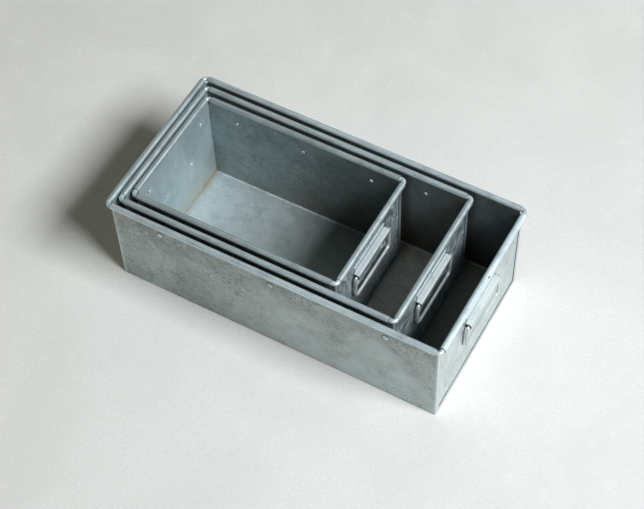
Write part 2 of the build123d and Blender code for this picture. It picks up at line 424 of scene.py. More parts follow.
class Zinc(Shader):
    """Zinc coat of one piece. Each step works on the surface that the steps before it left."""

    def __init__(self, name):
        super().__init__(bpy.data.materials.new(name))

    def paint(self, share, colour):
        """Cover the surface with a colour as far as share goes from 0 to 1."""
        self.colour = self.blend(share, self.colour, colour)

    def peaks(self, grain, low, high, share, colour):
        """Paint a share where a pattern rises from low to high."""
        self.paint(self.rise(grain, low, high) * share, colour)

    def dips(self, grain, low, high, share, colour):
        """Paint a share where a pattern falls from high to low."""
        self.paint(self.fall(grain, low, high) * share, colour)

    def dull(self, share):
        """Make the surface less metallic by a share."""
        self.metallic = self.metallic - share

    def coat(self, case, look, along, share):
        """Lay the mottled zinc, whose lines run along one axis, drawn out by a share."""
        offset = (0.37 * case.seed, 0.61 * case.seed, 0.23 * case.seed)
        where = self.place(offset)
        lines = Grain(look.lines, 4.0, 0.65)
        clouds = self.grain(where, CLOUDS)
        warmth = self.grain(self.place((0.8 + offset[0], 0, 0)), WARMTH)
        patches = self.grain(where, PATCHES)
        mottle = self.grain(where, MOTTLE)
        streaks = self.grain(self.place(offset, drawn_out(along, share)), lines)
        cells = {"Vector": where, "Scale": SPANGLE, "Randomness": 1.0}
        spangle = self.node("TexVoronoi", {"feature": "F1"}, cells, "Color")
        crystal = self.node("SeparateColor", {}, {"Color": spangle})
        self.colour = self.blend(self.rise(clouds, 0.38, 0.62), look.dull, look.bloom)
        self.peaks(warmth, 0.48, 0.68, look.warm, WARM_FILM)
        self.peaks(patches, 0.50, 0.72, look.mottle, ZINC_LIGHT)
        self.dips(patches, 0.32, 0.50, look.mottle, ZINC_DARK)
        self.peaks(mottle, 0.52, 0.78, look.mottle * 0.7, ZINC_LIGHT)
        self.dips(mottle, 0.24, 0.46, look.mottle * 0.7, ZINC_DARK)
        self.dips(self.grain(where, FINE), 0.34, 0.50, look.mottle * 0.55, ZINC_DARK)
        self.peaks(streaks, 0.54, 0.80, 0.14, ZINC_LIGHT)
        self.paint(crystal * 0.1, ZINC_LIGHT)
        # Small dark specks that gather in some patches
        specks = self.grain(self.place(offset, drawn_out(along, 0.7)), SPECKS)
        gathered = self.rise(self.grain(where, SPECK_PATCHES), 0.34, 0.62)
        dots = self.rise(specks, 0.55, 0.64) * gathered
        self.paint(dots * look.specks, DRY_DIRT)
        uneven = (patches - 0.5) * 0.3
        self.metallic = look.metal + uneven
        self.roughness = look.rough + uneven + (streaks - 0.5) * 0.15 + dots * 0.2
        relief = clouds * 1.5 + patches * 0.5 + mottle * 0.12
        self.height = relief + streaks * 0.06 - dots * 0.1

    def close(self, bump):
        """Put the finished surface on the material's output, and give the material."""
        self.surface(self.colour, self.metallic, self.roughness, self.height, bump)
        return self.owner


class SheetZinc(Zinc):
    """Zinc of a sheet with two sides, a rolled edge and rivets."""

    def __init__(self, name, case, wear):
        super().__init__(name)
        self.case = case
        self.wear = wear
        self.x, self.y, self.z = self.axes()
        self.across = abs(self.y)

    def coat_sides(self, looks, outside, along):
        """Coat both sides of a sheet rolled along one axis. Outside is 1 on its outer side."""
        self.outside = outside
        self.inside = 1.0 - outside
        inner, outer = looks.inside, looks.outside
        tones = [self.blend(outside, inner[i], outer[i]) for i in range(2)]
        shares = [outside * (outer[i] - inner[i]) + inner[i] for i in range(2, 7)]
        self.coat(self.case, Look(*tones, *shares, outer.lines), along, ROLLED_OUT)
        self.broken = self.grain(self.place(), BROKEN)

    def roll_edge(self, look, along, reach, end):
        """Worn rolled edge with fine lines along one axis, painted darker as shade on its lower
        half and toward the rear, and with painted shade at its cut ends.

        Reach is the distance from the middle along that axis. The edge is cut at end.
        """
        top = self.case.top
        # The edge starts lower outside than on the flat wall inside
        inner = self.rise(self.z, top - 0.5 * BEAD - HAIR, top - 0.5 * BEAD + HAIR)
        outer = self.rise(self.z, top - BEAD - HAIR, top - BEAD + HAIR)
        self.edge = self.outside * outer | inner
        where = self.place((0, 0, 0.7 * self.case.seed), drawn_out(along, 0.03))
        lines = self.grain(where, EDGE_LINES)
        wear = self.grain(self.place(), EDGE_WEAR)
        tone = self.blend(self.rise(wear, 0.35, 0.65), look.dull, look.bloom)
        # Painted shade on the edge's lower half and toward the rear, then darker wear patches and
        # dark and bright fine lines
        for share, shade in (
            (self.fall(self.z, top - 0.66 * BEAD, top - 0.38 * BEAD) * 0.6, EDGE_SHADE),
            (self.fall(self.x, EDGE_DARK_X, EDGE_BRIGHT_X) * 0.3, EDGE_SHADE),
            (self.fall(wear, 0.3, 0.48) * 0.3, EDGE_SHADE),
            (self.fall(lines, 0.3, 0.5) * 0.45, ZINC_DARK),
            (self.rise(lines, 0.5, 0.72) * 0.5, ZINC_BRIGHT),
        ):
            tone = self.blend(share, tone, shade)
        self.paint(self.edge, tone)
        self.metallic = self.metallic + self.edge * (look.metal - self.metallic)
        rough = (wear - 0.5) * 0.2 + look.rough
        self.roughness = self.roughness + self.edge * (rough - self.roughness)
        # Painted shade in the gap at the edge's cut ends
        cut = self.edge * self.rise(reach, end - 2.5 * HAIR, end - HAIR)
        self.paint(cut * self.rise(self.broken, 0.35, 0.6), GROOVE)

    def ring(self, first, second, radius):
        """Thin dark ring, partly dirt and partly painted shade: first and second are the distances
        from its middle.
        """
        return self.line(self.distance(first, second), radius, RING_HALF, RING_HALF)

    def scuffs(self, first, second):
        """Broken scuffs round a hammered tail: first and second are the distances from it."""
        near = self.fall(self.distance(first, second), SCUFF_FULL, SCUFF_END)
        return near * self.rise(self.broken, 0.42, 0.62)


class BodyZinc(SheetZinc):
    """Zinc of a folded body sheet: rolled edge, folds, floor and what has settled on them."""

    def __init__(self, case, looks, wear):
        super().__init__(f"{case.name} body zinc", case, wear)
        self.along = abs(self.x - case.middle)
        self.coat_sides(looks, self.outer_half(), "x")
        self.drift = self.grain(self.place(), BODY_DRIFT)
        self.bloom_outside()
        self.roll_edge(looks.edge, "x", self.along, case.half_length - BODY_BEAD_END)
        self.rub_and_highlight_corners()
        self.dust_and_shade_walls()
        self.soil_floor()
        self.mark_joints()
        self.soil_and_shade_rivets()
        self.close(SHEET_BUMP)

    def outer_half(self):
        """1 in the outer half of the sheet's thickness."""
        case = self.case
        near, far = 0.4 * SHEET, 0.6 * SHEET
        return (
            self.rise(self.across, case.half_width - far, case.half_width - near)
            | self.rise(self.along, case.half_length - far, case.half_length - near)
            | self.fall(self.z, case.base + near, case.base + far)
        )

    def forward(self, rear, front):
        """Rise from the rear to the front, between two shares of the half length."""
        half = self.case.half_length
        return self.rise(self.x - self.case.middle, rear * half, front * half)

    def bloom_outside(self):
        """Pale bloom low on the walls, and rusty water under the rolled edge."""
        pale = self.forward(-0.7, 0.4) * self.rise(self.drift, 0.2, 0.75)
        pale = pale * self.fall(self.z - self.case.base, BLOOM_FULL, BLOOM_END)
        self.paint(self.outside * pale * 0.85, PALE_BLOOM)
        under = self.line(self.z, self.case.top - 1.35 * BEAD, 0.3 * BEAD, 0.6 * BEAD)
        self.peaks(self.drift, 0.4, 0.65, self.outside * under * 0.5, RUST_BROWN)

    def rub_and_highlight_corners(self):
        """Rubbed corners that are partly a painted highlight, flanges in a tone painted as lit or
        as shaded, and a painted highlight on the bends, broken like wear.
        """
        end = self.case.half_length
        wall = self.case.half_width
        flat = 1.0 - self.edge
        # Rubbed zinc at the vertical corners outside, partly a painted highlight of the lit corner
        rubbed_and_painted_light = self.outside * self.rise(self.along, end - RUBBED_HIGHLIGHT_REACH, end - 0.25 * SHEET)
        rubbed_and_painted_light = rubbed_and_painted_light * self.rise(self.across, wall - 2.5 * SHEET, wall - SHEET)
        rubbed_and_painted_light = rubbed_and_painted_light * flat * self.wear.rub
        self.paint(rubbed_and_painted_light, RUBBED_CORNER_HIGHLIGHT)
        self.dull(rubbed_and_painted_light * 0.6)
        # Flange tone, painted as lit on the large box and as shaded blue on the inner boxes
        flange = flat * self.rise(self.along, end - 0.3 * SHEET, end - 0.2 * SHEET)
        self.paint(flange * 0.7, self.wear.flange)
        # Painted highlight on the corner bends, broken like wear
        bend = self.rise(self.along, end - 6 * HAIR, end - 2 * HAIR)
        bend = bend * self.rise(self.across, wall - 6 * HAIR, wall - 2 * HAIR)
        self.peaks(self.broken, 0.30, 0.50, bend * 0.5, ZINC_BRIGHT)

    def dust_and_shade_walls(self):
        """Brown dust and painted shade inside, less of them high up and to the rear. The insides of
        the outer boxes are painted darker as the shade in their bays.
        """
        base = self.case.base
        # Brown dust and painted shade, low down and toward the front
        border = self.z + (self.drift - 0.5) * WALL_DUST_AND_SHADE_DRIFT
        dusty_and_shaded = self.inside * self.fall(border, base, base + WALL_DUST_AND_SHADE)
        dusty_and_shaded = dusty_and_shaded * (self.forward(-1.0, 0.3) * 0.8 + 0.2)
        # Painted shade inside the outer boxes' bays, as strong as their share of dust
        self.paint(self.inside * (0.4 * self.wear.dust), ZINC_DARK)
        self.paint(dusty_and_shaded * (0.68 + 0.32 * self.wear.dust), BROWN_DUST_AND_SHADE)

    def soil_floor(self):
        """Floor: zinc painted from lit blue at the rear to shaded at the front, the dust on it,
        which also darkens the outer boxes' shaded floors, and grit.
        """
        dust = self.wear.dust
        level = self.case.base + SHEET
        self.floor = self.inside * self.fall(self.z, level + HAIR, level + 3 * HAIR)
        # Painted light and shade: light blue at the rear, dark toward the front end
        lit_to_shaded = self.blend(self.forward(-1.0, 0.35), LIT_FLOOR_BLUE, SHADED_FLOOR_BLUE)
        streaky = self.rise(self.broken, 0.3, 0.7) * 0.2 + 0.62
        self.paint(self.floor * streaky * (1.0 - 0.8 * dust), lit_to_shaded)
        clumps = self.rise(self.drift, 0.3, 0.7) + self.rise(self.broken, 0.4, 0.65) - 1.0
        settled = self.floor * (clumps * 0.2 + dust)
        self.paint(settled, self.wear.dust_tone)
        self.dull(self.floor * 0.35 + settled * 0.55)
        self.roughness = self.roughness + settled * 0.15
        grit = self.grain(self.place(), GRIT)
        self.peaks(grit, 0.52, 0.66, self.floor * (0.14 + 0.4 * dust), DRY_DIRT)

    def mark_joints(self):
        """Painted highlight lines along the floor's folds, and yellow stains in its joints at the
        ends.
        """
        end = self.case.half_length
        wall = self.case.half_width
        level = self.case.base + SHEET
        # Painted highlight along the fold between floor and long walls, broken along its length
        fold = self.rise(self.across, wall - SHEET - 7 * HAIR, wall - SHEET - 4 * HAIR)
        fold = self.inside * fold * self.fall(self.z, level + 5 * HAIR, level + 9 * HAIR)
        fold = fold * (self.rise(self.broken, 0.3, 0.6) * 0.4 + 0.2)
        self.paint(fold, ZINC_LIGHT)
        self.dull(fold * 0.5)
        border = self.along + (self.drift + self.broken - 1.0) * FLOOR_STAIN_DRIFT
        stain = self.floor * self.rise(border, end - FLOOR_STAIN, end - HAIR)
        stain = stain * (self.rise(self.y, -0.5 * wall, wall) * 0.6 + 0.4)
        self.paint(stain * self.wear.stain, YELLOW_STAIN)

    def soil_and_shade_rivets(self):
        """Dark rings round the rivets, partly dirt and partly painted shade, and scuffs round their
        tails.
        """
        # A long wall has one rivet at its middle and one further out on each side
        reach = abs(self.along - self.case.wall.long_reach) & self.along
        lift = self.z - self.case.wall.height
        self.paint(self.inside * self.scuffs(reach, lift) * 0.4, FLAKE_BLUE)
        # Dark rings round heads outside and tails inside: partly dirt, partly painted shade at
        # their edges
        dirt_and_shade = self.outside * self.ring(reach, lift, HEAD_RING)
        dirt_and_shade = dirt_and_shade | self.inside * self.ring(reach, lift, TAIL_RING)
        self.paint(dirt_and_shade * 0.85, GROOVE)


class PanelZinc(SheetZinc):
    """Zinc of an end panel: flakes, rolled edge, seams beside the flanges and stained joint."""

    def __init__(self, case, end, looks, wear):
        super().__init__(f"{case.name} {end} panel zinc", case, wear)
        self.out = (self.x - case.middle) * ENDS[end]
        face = case.half_length - SHEET
        outside = self.rise(self.out, face - 0.7 * SHEET, face - 0.5 * SHEET)
        self.coat_sides(looks, outside, "z")
        self.smear_and_flake()
        self.roll_edge(looks.edge, "y", self.across, case.half_width - PANEL_BEAD_END)
        self.mark_seams(knuckle_height(case, end))
        self.stain_inside()
        self.soil_and_shade_rivets()
        self.mark_edge()
        self.close(SHEET_BUMP)

    def smear_and_flake(self):
        """Upright smears, painted shade on the outer side, and flakes of brighter zinc."""
        seed = self.case.seed
        smears = self.grain(self.place((0, 0.3 * seed, 0), drawn_out("z", 0.22)), PANEL_SMEARS)
        smeared = self.outside * 0.06 + 0.2
        self.peaks(smears, 0.5, 0.75, smeared, ZINC_BRIGHT)
        self.dips(smears, 0.25, 0.45, smeared, ZINC_DARK)
        flakes = self.rise(self.grain(self.place((0, 0, 1.3 * seed)), FLAKES), 0.42, 0.58)
        flaked = self.rise(self.grain(self.place((0, 0, 0.9 * seed)), FLAKE_PATCHES), 0.22, 0.55)
        flakes = self.outside * flakes * flaked
        # Painted shade: the inner boxes' ends are painted shaded blue outside
        self.paint(self.outside * self.wear.tarnish, SHADED_BLUE)
        self.paint(flakes * 0.8, self.wear.flakes)
        self.dull(flakes * 0.55)

    def mark_seams(self, knuckle):
        """Dark seams beside the flanges painted as the shade in their gaps, a painted shadow beside
        the handle plate's upper flange, and painted shade in the corners inside.
        """
        wall = self.case.half_width
        # Dark seams beside the side and floor flanges, painted as the shade in their gaps
        beside = self.line(self.across, wall - SIDE_FLANGE - HAIR, 0.5 * HAIR)
        above = self.line(self.z, self.case.base + FLOOR_FLANGE + HAIR, 0.5 * HAIR)
        seams = self.outside * (beside | above) * (1.0 - self.edge)
        # Painted shadow of the upper flange's end, on the plate's -y side only
        plate = self.outside * self.line(self.y, -FLANGE_REACH - HAIR, HAIR)
        plate = plate * self.line(self.z, knuckle + FLANGE_SHADOW_LIFT, FLANGE_SHADOW_HALF, MM)
        # Painted shade in the corners inside
        corner = self.rise(self.across, wall - SHEET - 3 * HAIR, wall - SHEET - 1.5 * HAIR)
        corner = self.inside * corner * self.rise(self.broken, 0.3, 0.65)
        self.paint((seams | plate) * 0.9 | corner * 0.7, GROOVE)

    def stain_inside(self):
        """Darker and browner low on the inside, and a yellow stain along the joint with the floor.
        """
        base = self.case.base
        drift = self.grain(self.place(), PANEL_DRIFT)
        border = self.z + (drift - 0.5) * PANEL_MURK_DRIFT
        # Darker and browner toward the bottom inside
        murk = self.inside * self.fall(border, base, base + PANEL_MURK)
        self.paint(murk * 0.4, RUST_BROWN)
        corner = self.rise(self.y, -0.6 * self.case.half_width, 0.9 * self.case.half_width)
        border = self.z - (self.broken - 0.5) * PANEL_STAIN_DRIFT - corner * PANEL_STAIN_CORNER
        stain = self.inside * self.fall(border, base + PANEL_STAIN_FULL, base + PANEL_STAIN_END)
        stain = stain * (self.rise(self.broken, 0.3, 0.6) * 0.6 + 0.4) * (corner * 0.6 + 0.4)
        self.paint(stain * self.wear.stain, YELLOW_STAIN)

    def soil_and_shade_rivets(self):
        """Dark rings round the rivets, partly dirt and partly painted shade, and scuffs round their
        tails.
        """
        wall, plate = self.case.wall, self.case.plate
        high = (abs(self.across - wall.end_reach), self.z - wall.height)
        low = (abs(self.across - plate.end_reach), self.z - plate.height)
        scuffs = self.scuffs(*high) | self.scuffs(*low)
        self.paint(self.inside * scuffs * 0.6, ZINC_BRIGHT)
        # Dark rings: partly dirt, partly painted shade round heads and tails
        tails = self.ring(*high, TAIL_RING) | self.ring(*low, TAIL_RING)
        dirt_and_shade = self.outside * self.ring(*high, HEAD_RING) | self.inside * tails * 0.5
        self.paint(dirt_and_shade * 0.8, GROOVE)

    def mark_edge(self):
        """Chips and scuffs on the outer side of the rolled edge."""
        end = self.case.half_length
        outer = self.rise(self.out, end + MARK_START, end + MARK_FULL)
        for mark in self.wear.chips:
            self.paint(outer * self.oval(mark), GROOVE)
        for mark in self.wear.scuffs:
            self.paint(outer * self.oval(mark) * 0.7, ZINC_BRIGHT)

    def oval(self, mark):
        """1 inside an oval mark."""
        across = (self.y - mark.y * MM) * (1 / (mark.half_y * MM))
        lift = (self.z - mark.z * MM) * (1 / (mark.half_z * MM))
        return self.fall(across * across + lift * lift, 0.5, 1.5)


class PlateZinc(Zinc):
    """Zinc of a handle plate: shiny flanges, a worn knuckle and painted shade in the gap inside it.
    """

    def __init__(self, case, end, look, flange):
        super().__init__(f"{case.name} {end} plate zinc")
        low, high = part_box(f"{case.name}_{end}_handle_plate")
        x, y, z = self.axes()
        self.across = abs(y)
        self.lift = z - (high.z - FLANGE_RISE)
        self.coat(case, look, "y", DRAWN_OUT)
        self.broken = self.grain(self.place((0.5 * case.seed, 0, 0)), PLATE_BROKEN)
        self.polish(case, flange)
        self.shade_and_rub_ends(high.y)
        self.shade_crease_and_light_edge()
        # Painted shade in the knuckle's hollow round the bail's wire
        out = max(abs(low.x - case.middle), abs(high.x - case.middle)) - KNUCKLE
        gap = self.distance(abs(x - case.middle) - out, self.lift)
        self.paint(self.fall(gap, KNUCKLE_HOLLOW, KNUCKLE_HOLLOW + HAIR), GROOVE)
        self.close(PLATE_BUMP)

    def polish(self, case, flange):
        """Shiny flanges and lower half of the knuckle, finely scratched along the plate, in a tone
        painted as lit on the large box and as shaded on the inner ones.
        """
        flat = self.rise(abs(self.lift), KNUCKLE + 0.2 * MM, KNUCKLE + 1.4 * MM)
        flat = flat | self.fall(self.lift, 0.3 * MM, 2.1 * MM)
        self.metallic = self.metallic + flat * (1.0 - self.metallic)
        self.roughness = self.roughness - flat * 0.13
        self.paint(flat * (0.85 - 0.3 * self.broken), flange)
        where = self.place((0.2, 0, 0.4 * case.seed), drawn_out("y", 0.12))
        scratches = self.grain(where, PLATE_SCRATCHES)
        self.dips(scratches, 0.3, 0.48, flat * 0.3, ZINC_DARK)
        self.peaks(scratches, 0.55, 0.75, flat * 0.3, ZINC_BRIGHT)

    def shade_and_rub_ends(self, half_width):
        """Painted shade at the knuckle's ends. Under them, the dull ears, with a painted shadow of
        each bail leg that is also the line the leg rubs, and painted shade along the ears' outer
        edges.
        """
        upper = self.rise(self.lift, -KNUCKLE - 0.5 * MM, -KNUCKLE + 0.2 * MM)
        # Painted shade at the knuckle's ends
        tip = self.rise(self.across, KNUCKLE_REACH - 2 * HAIR, KNUCKLE_REACH - HAIR)
        ear = self.rise(self.across, EAR_START, EAR_FULL) * (1.0 - upper)
        # Painted shadow of the bail's leg at rest, which also stands for the line it rubs
        rubbed_and_painted_light = self.line(self.across, BAIL_LEG, LEG_SHADOW_RUB_HALF, LEG_SHADOW_RUB_SOFT)
        rubbed_and_painted_light = ear * rubbed_and_painted_light * self.rise(self.lift, LEG_SHADOW_RUB_GONE, LEG_SHADOW_RUB_FULL)
        rubbed_and_painted_light = rubbed_and_painted_light * (self.rise(self.broken, 0.3, 0.6) * 0.35 + 0.5)
        # Painted shade along the ears' outer edges
        side = ear * self.rise(self.across, half_width - 1.3 * MM, half_width - 0.9 * MM)
        self.paint(tip * upper * 0.9 | rubbed_and_painted_light | side * 0.85, GROOVE)
        self.dull(ear * 0.75)

    def shade_crease_and_light_edge(self):
        """Painted shade in the crease over the knuckle, and a painted highlight on the upper edge.
        """
        # Painted shade in the crease between flange and knuckle
        self.paint(self.line(self.lift, KNUCKLE + 1.2 * MM, 0.2 * MM) * 0.5, GROOVE)
        # Painted highlight on the upper flange's top edge, which faces the light
        worn_floor_or_lit_edge = self.rise(self.lift, FLANGE_RISE - 0.7 * MM, FLANGE_RISE - 0.4 * MM)
        self.paint(worn_floor_or_lit_edge, ZINC_BRIGHT)
        self.dull(worn_floor_or_lit_edge * 0.6)


def bail_zinc(case, end, look):
    """Zinc of a wire bail, with painted shade where it enters the knuckle."""
    zinc = Zinc(f"{case.name} {end} bail zinc")
    zinc.coat(case, look, "y", DRAWN_OUT)
    x, y, z = zinc.axes()
    knuckle = knuckle_height(case, end)
    # Painted shade on the wire just outside the knuckle
    collar = zinc.line(abs(y), KNUCKLE_REACH + 0.2 * MM, 2 * HAIR)
    collar = collar * zinc.rise(z, knuckle - 2 * MM, knuckle - MM)
    zinc.paint(collar * 0.9, GROOVE)
    return zinc.close(WIRE_BUMP)


def plain_zinc(case, name, look):
    """Zinc of a small drawn piece."""
    zinc = Zinc(f"{case.name} {name} zinc")
    zinc.coat(case, look, "x", DRAWN_OUT)
    return zinc.close(WIRE_BUMP)


def finish_with(node, material):
    """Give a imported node's object this material in each of its slots."""
    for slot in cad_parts[node].material_slots:
        slot.material = material


def colour_choice(name, description, default):
    """A colour that a user can change."""
    return bpy.props.FloatVectorProperty(
        name=name, description=description, default=default, subtype="COLOR", min=0.0, max=1.0
    )


def share_choice(name, description, default):
    """A number from 0 to 1 that a user can change."""
    return bpy.props.FloatProperty(
        name=name, description=description, default=default, min=0.0, max=1.0, subtype="FACTOR"
    )


def measure_choice(name, unit, description, default):
    """A length, an angle, a power or a lens that a user can change."""
    return bpy.props.FloatProperty(name=name, description=description, default=default, unit=unit)


class ZincSettings(bpy.types.PropertyGroup):
    """Tones and shine of the galvanised steel."""

    outer_dull: colour_choice("Outer zinc", "Dull tone of the walls outside", (0.305, 0.347, 0.332))
    outer_bloom: colour_choice("Outer bloom", "Bloom on the walls outside", (0.40, 0.465, 0.457))
    inner_dull: colour_choice("Inner zinc", "Dull tone inside the boxes", (0.265, 0.32, 0.33))
    inner_bloom: colour_choice("Inner bloom", "Bloom inside the boxes", (0.35, 0.42, 0.435))
    back_dull: colour_choice("End inside", "Dull tone of the ends inside", (0.325, 0.445, 0.49))
    back_bloom: colour_choice("End bloom inside", "Bloom on the ends inside", (0.41, 0.535, 0.575))
    end_dull: colour_choice("End zinc", "Dull tone of the ends outside", (0.47, 0.54, 0.57))
    end_bloom: colour_choice("End bloom", "Bloom on the ends outside", (0.66, 0.72, 0.73))
    rim_dull: colour_choice("Rolled edge", "Dull tone of the rolled edges", (0.57, 0.715, 0.785))
    rim_bloom: colour_choice("Edge bloom", "Bloom on the rolled edges", (0.665, 0.815, 0.89))
    plate_dull: colour_choice("Plate zinc", "Dull tone of the plates", (0.47, 0.55, 0.58))
    plate_bloom: colour_choice("Plate bloom", "Bloom on the handle plates", (0.57, 0.64, 0.66))
    wire_dull: colour_choice("Wire zinc", "Dull tone of the bails", (0.50, 0.54, 0.54))
    wire_bloom: colour_choice("Wire bloom", "Bloom on the bails", (0.64, 0.68, 0.68))
    metallic: share_choice("Metallic", "How metallic the sheets are", 0.6)
    roughness: share_choice("Roughness", "Roughness of the sheets", 0.48)


class StageSettings(bpy.types.PropertyGroup):
    """Floor, lights and camera."""

    floor_colour: colour_choice("Floor", "Colour of the floor", (0.79, 0.81, 0.808))
    key_power: measure_choice("Key power", "POWER", "Power of the key light", 143.0)
    key_width: measure_choice("Key width", "LENGTH", "Width of the key light", 1.5)
    key_height: measure_choice("Key height", "LENGTH", "Height of the key light", 0.98)
    key_distance: measure_choice("Key distance", "LENGTH", "From the boxes to the key light", 3.5)
    key_turn: measure_choice(
        "Key turn", "ROTATION", "Key light's turn from the boxes' front end", math.radians(-7.0)
    )
    key_rise: measure_choice(
        "Key rise", "ROTATION", "Key light's angle above the floor", math.radians(50.0)
    )
    fill_power: measure_choice(
        "Fill power", "POWER", "Power of the weak light opposite the key", 4.5
    )
    horizon: colour_choice("Horizon", "World's colour at the horizon", (0.35, 0.345, 0.275))
    zenith: colour_choice("Zenith", "World's colour overhead", (0.045, 0.044, 0.035))
    azimuth: measure_choice(
        "Azimuth", "ROTATION", "Camera's turn round the boxes", math.radians(31.28)
    )
    elevation: measure_choice(
        "Elevation", "ROTATION", "Camera's angle above the floor", math.radians(55.04)
    )
    roll: measure_choice(
        "Roll", "ROTATION", "Camera's tilt round its own line of sight", math.radians(-2.64)
    )
    distance: measure_choice("Distance", "LENGTH", "From the camera to its target", 1.83165)
    target: bpy.props.FloatVectorProperty(
        name="Target", description="Point the camera looks at",
        default=(0.00696, -0.00199, 0.05), subtype="TRANSLATION",
    )
    lens: measure_choice("Lens", "CAMERA", "Focal length in millimetres", 91.48)


def look_of(settings, name, mottle, specks, rough, metal, warm=0.0, lines=ROLLED_LINES):
    """Look with the tones of that name, and that much more rough and metallic than is set."""
    tones = [tuple(getattr(settings, f"{name}_{tone}")) for tone in ("dull", "bloom")]
    shine = (settings.roughness + rough, settings.metallic + metal)
    return Look(*tones, mottle, specks, *shine, warm, lines)


def edge_look(settings, metal):
    """Look of a rolled edge, that much more metallic than is set."""
    return look_of(settings, "rim", mottle=0.2, specks=0.2, rough=-0.06, metal=metal)


class BOXES_OT_finish_sheets(bpy.types.Operator):
    """Finish the three folded body sheets"""

    bl_idname = "boxes.finish_sheets"
    bl_label = "Finish body sheets"

    def execute(self, context):
        tones = context.scene.box_zinc
        outside = look_of(tones, "outer", mottle=0.6, specks=0.75, rough=0.0, metal=0.0, warm=0.45)
        inside = look_of(
            tones, "inner", mottle=0.42, specks=0.35, rough=-0.02, metal=0.25, warm=0.5
        )
        for case in CASES:
            edge = edge_look(tones, BODY_EDGE_SHINE[case.name])
            zinc = BodyZinc(case, SheetLooks(outside, inside, edge), BODY_WEAR[case.name])
            finish_with(f"{case.name}_body_sheet", zinc.owner)
        return {"FINISHED"}


class BOXES_OT_finish_panels(bpy.types.Operator):
    """Finish the six end panels"""

    bl_idname = "boxes.finish_panels"
    bl_label = "Finish end panels"

    def execute(self, context):
        tones = context.scene.box_zinc
        outside = look_of(tones, "end", mottle=0.35, specks=0.2, rough=-0.1, metal=0.31)
        inside = look_of(
            tones, "back", mottle=0.2, specks=0.15, rough=-0.05, metal=-0.15, warm=0.05
        )
        for case in CASES:
            large = case.name == "large"
            for end in ENDS:
                edge = edge_look(tones, -0.4 if large and end == "front" else 0.12)
                # Only the inner boxes' ends get painted shade outside
                wear = PanelWear(
                    tarnish=0.0 if large else 0.3,
                    flakes=PALE_FLAKE if large else FLAKE_BLUE,
                    stain=0.75 if end == "rear" else 0.2,
                    chips=CHIPS.get((case.name, end), ()),
                    scuffs=SCUFFS.get((case.name, end), ()),
                )
                zinc = PanelZinc(case, end, SheetLooks(outside, inside, edge), wear)
                finish_with(f"{case.name}_{end}_panel", zinc.owner)
        return {"FINISHED"}


class BOXES_OT_finish_handles(bpy.types.Operator):
    """Finish the handle plates and the wire bails in them"""

    bl_idname = "boxes.finish_handles"
    bl_label = "Finish handles"

    def execute(self, context):
        tones = context.scene.box_zinc
        wire = look_of(
            tones, "wire", mottle=0.2, specks=0.2, rough=-0.06, metal=-0.15, lines=DRAWN_LINES
        )
        for case in CASES:
            # The large box's plates are painted as lit, the inner boxes' as shaded
            shine, flange = (-0.4, LIT_PLATE_FLANGE) if case.name == "large" else (-0.15, SHADED_PLATE_FLANGE)
            plate = look_of(
                tones, "plate", mottle=0.3, specks=0.2, rough=-0.03, metal=shine, lines=DRAWN_LINES
            )
            for end in ENDS:
                zinc = PlateZinc(case, end, plate, flange)
                finish_with(f"{case.name}_{end}_handle_plate", zinc.owner)
                finish_with(f"{case.name}_{end}_bail", bail_zinc(case, end, wire))
        return {"FINISHED"}


class BOXES_OT_finish_rims(bpy.types.Operator):
    """Finish the rim wires, which show only at the corners"""

    bl_idname = "boxes.finish_rims"
    bl_label = "Finish rim wires"

    def execute(self, context):
        tones = context.scene.box_zinc
        wire = look_of(
            tones, "rim", mottle=0.2, specks=0.4, rough=-0.16, metal=-0.2, lines=DRAWN_LINES
        )
        for case in CASES:
            finish_with(f"{case.name}_rim_wire", plain_zinc(case, "rim wire", wire))
        return {"FINISHED"}


